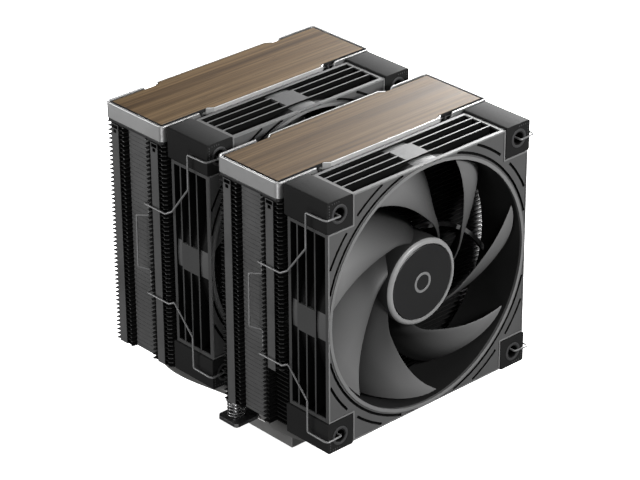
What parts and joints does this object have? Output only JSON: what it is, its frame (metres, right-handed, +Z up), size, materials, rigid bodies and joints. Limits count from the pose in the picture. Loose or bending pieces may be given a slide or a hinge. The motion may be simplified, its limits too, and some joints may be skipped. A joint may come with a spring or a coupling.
{
  "type": "cpu tower cooler",
  "caption": "Dual-tower CPU air cooler with heat pipes, clip-on fans with rubber corner pads, spring screws and wood-topped covers with silver end rims.",
  "frame": {"origin": "centre of the cold plate's contact face", "axes": "+Z up from the contact face to the covers, -Y towards the front fan, X across the fins"},
  "size_m": [0.1276, 0.1443, 0.1601],
  "materials": {
    "nickel": "nickel plated, satin",
    "black_fins": "black coated sheet",
    "black_steel": "satin black",
    "black_plastic": "fine moulded texture",
    "silver_trim": "satin, bead blasted",
    "dark_wood": "oiled open grain",
    "steel": "drawn wire, bright",
    "fan_plastic": "fine moulded texture",
    "rotor_plastic": "smooth satin",
    "rubber": "matte",
    "brass": "turned",
    "copper": "enamelled windings"
  },
  "bodies": {
    "root": {"cold_plate": "nickel", "base_clamp": "nickel", "heat_pipe_1": "nickel", "heat_pipe_2": "nickel", "heat_pipe_3": "nickel", "heat_pipe_4": "nickel", "heat_pipe_5": "nickel", "heat_pipe_6": "nickel", "mounting_crossbar": "black_steel", "front_fin_stack": "black_fins", "rear_fin_stack": "black_fins", "front_cover_base": "black_plastic", "front_cover_tray": "silver_trim", "front_cover_wood": "dark_wood", "front_cover_rim_left": "silver_trim", "front_cover_rim_right": "silver_trim", "rear_cover_base": "black_plastic", "rear_cover_tray": "silver_trim", "rear_cover_wood": "dark_wood", "rear_cover_rim_left": "silver_trim", "rear_cover_rim_right": "silver_trim", "spring_left": "steel", "spring_right": "steel"},
    "front_fan": {"front_fan_frame": "fan_plastic", "front_fan_pad_top_left": "rubber", "front_fan_pad_top_right": "rubber", "front_fan_pad_bottom_left": "rubber", "front_fan_pad_bottom_right": "rubber", "front_fan_bearing": "brass", "front_fan_stator": "copper"},
    "front_fan_rotor": {"front_fan_impeller": "rotor_plastic", "front_fan_hub_cap": "rotor_plastic", "front_fan_shaft": "steel"},
    "front_fan_clip_left": {"front_fan_clip_left": "steel"},
    "front_fan_clip_right": {"front_fan_clip_right": "steel"},
    "middle_fan": {"middle_fan_frame": "fan_plastic", "middle_fan_pad_top_left": "rubber", "middle_fan_pad_top_right": "rubber", "middle_fan_pad_bottom_left": "rubber", "middle_fan_pad_bottom_right": "rubber", "middle_fan_bearing": "brass", "middle_fan_stator": "copper"},
    "middle_fan_rotor": {"middle_fan_impeller": "rotor_plastic", "middle_fan_hub_cap": "rotor_plastic", "middle_fan_shaft": "steel"},
    "middle_fan_clip_left": {"middle_fan_clip_left": "steel"},
    "middle_fan_clip_right": {"middle_fan_clip_right": "steel"},
    "screw_washer_left": {"screw_washer_left": "steel"},
    "screw_left": {"screw_left": "steel"},
    "screw_washer_right": {"screw_washer_right": "steel"},
    "screw_right": {"screw_right": "steel"}
  },
  "joints": [
    {"name": "front_fan_height", "type": "slide", "parent": "root", "child": "front_fan", "axis": [0, 0, 1], "range_m": [0, 0.025]},
    {"name": "front_fan_spin", "type": "hinge", "parent": "front_fan", "child": "front_fan_rotor", "pos_m": [0, -0.0854, 0.09977], "axis": [0, 1, 0], "continuous": true},
    {"name": "front_fan_clip_left_swing", "type": "hinge", "parent": "front_fan", "child": "front_fan_clip_left", "pos_m": [-0.0536, -0.0863, 0.09977], "axis": [0, 0, 1], "range_deg": [0, 10], "stiffness_Nm_per_rad": 0.05, "springref_deg": -5.73},
    {"name": "front_fan_clip_right_swing", "type": "hinge", "parent": "front_fan", "child": "front_fan_clip_right", "pos_m": [0.0536, -0.0863, 0.09977], "axis": [0, 0, -1], "range_deg": [0, 10], "stiffness_Nm_per_rad": 0.05, "springref_deg": -5.73},
    {"name": "middle_fan_height", "type": "slide", "parent": "root", "child": "middle_fan", "axis": [0, 0, 1], "range_m": [0, 0.025]},
    {"name": "middle_fan_spin", "type": "hinge", "parent": "middle_fan", "child": "middle_fan_rotor", "pos_m": [0, -0.0097, 0.09977], "axis": [0, 1, 0], "continuous": true},
    {"name": "middle_fan_clip_left_swing", "type": "hinge", "parent": "middle_fan", "child": "middle_fan_clip_left", "pos_m": [-0.0536, -0.0106, 0.09977], "axis": [0, 0, 1], "range_deg": [0, 10], "stiffness_Nm_per_rad": 0.05, "springref_deg": -5.73},
    {"name": "middle_fan_clip_right_swing", "type": "hinge", "parent": "middle_fan", "child": "middle_fan_clip_right", "pos_m": [0.0536, -0.0106, 0.09977], "axis": [0, 0, -1], "range_deg": [0, 10], "stiffness_Nm_per_rad": 0.05, "springref_deg": -5.73},
    {"name": "spring_travel_left", "type": "slide", "parent": "root", "child": "screw_washer_left", "axis": [0, 0, 1], "range_m": [-0.003, 0], "stiffness_N_per_m": 3000, "springref_m": 0.004, "deforming": ["spring_left"]},
    {"name": "screw_turn_left", "type": "hinge", "parent": "screw_washer_left", "child": "screw_left", "pos_m": [-0.039, 0, 0.0236], "axis": [0, 0, 1], "continuous": true},
    {"name": "spring_travel_right", "type": "slide", "parent": "root", "child": "screw_washer_right", "axis": [0, 0, 1], "range_m": [-0.003, 0], "stiffness_N_per_m": 3000, "springref_m": 0.004, "deforming": ["spring_right"]},
    {"name": "screw_turn_right", "type": "hinge", "parent": "screw_washer_right", "child": "screw_right", "pos_m": [0.039, 0, 0.0236], "axis": [0, 0, 1], "continuous": true}
  ]
}
